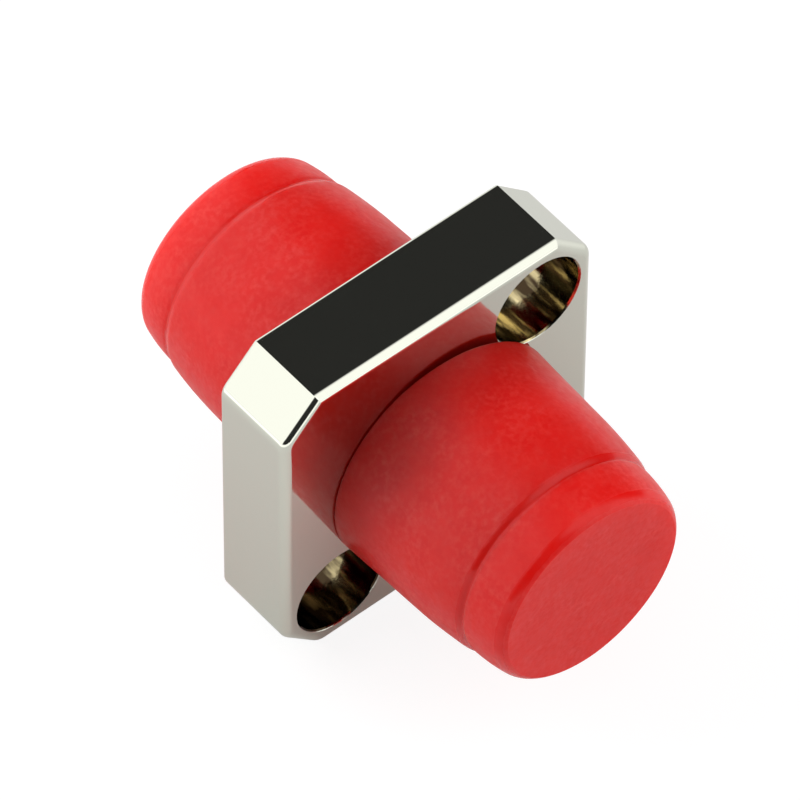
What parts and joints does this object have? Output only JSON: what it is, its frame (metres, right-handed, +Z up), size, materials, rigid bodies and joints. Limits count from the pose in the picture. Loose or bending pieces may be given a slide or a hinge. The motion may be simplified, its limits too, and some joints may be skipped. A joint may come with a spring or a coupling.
{
  "type": "fc fibre adapter",
  "caption": "Square-flange FC fibre-optic coupler in bright plate, with threaded barrels front and rear, a ceramic alignment sleeve inside and pull-off red dust caps.",
  "frame": {"origin": "middle of the flange on the optical axis", "axes": "+Y along the optical axis towards the rear barrel, +X to the right seen from the front, +Z up towards the keyways"},
  "size_m": [0.014, 0.02, 0.014],
  "materials": {
    "bright_nickel": "bright nickel plate over a casting",
    "turned_brass": "bright turned",
    "zirconia": "polished white zirconia ceramic",
    "red_polythene": "soft satin moulding"
  },
  "bodies": {
    "adapter": {"housing": "bright_nickel", "front_sleeve_retainer": "turned_brass", "rear_sleeve_retainer": "turned_brass", "split_sleeve": "zirconia"},
    "front_cap": {"front_dust_cap": "red_polythene"},
    "rear_cap": {"rear_dust_cap": "red_polythene"}
  },
  "joints": [
    {"name": "front_cap_pull", "type": "slide", "parent": "adapter", "child": "front_cap", "axis": [0, -1, 0], "range_m": [0, 0.012]},
    {"name": "rear_cap_pull", "type": "slide", "parent": "adapter", "child": "rear_cap", "axis": [0, 1, 0], "range_m": [0, 0.012]}
  ]
}
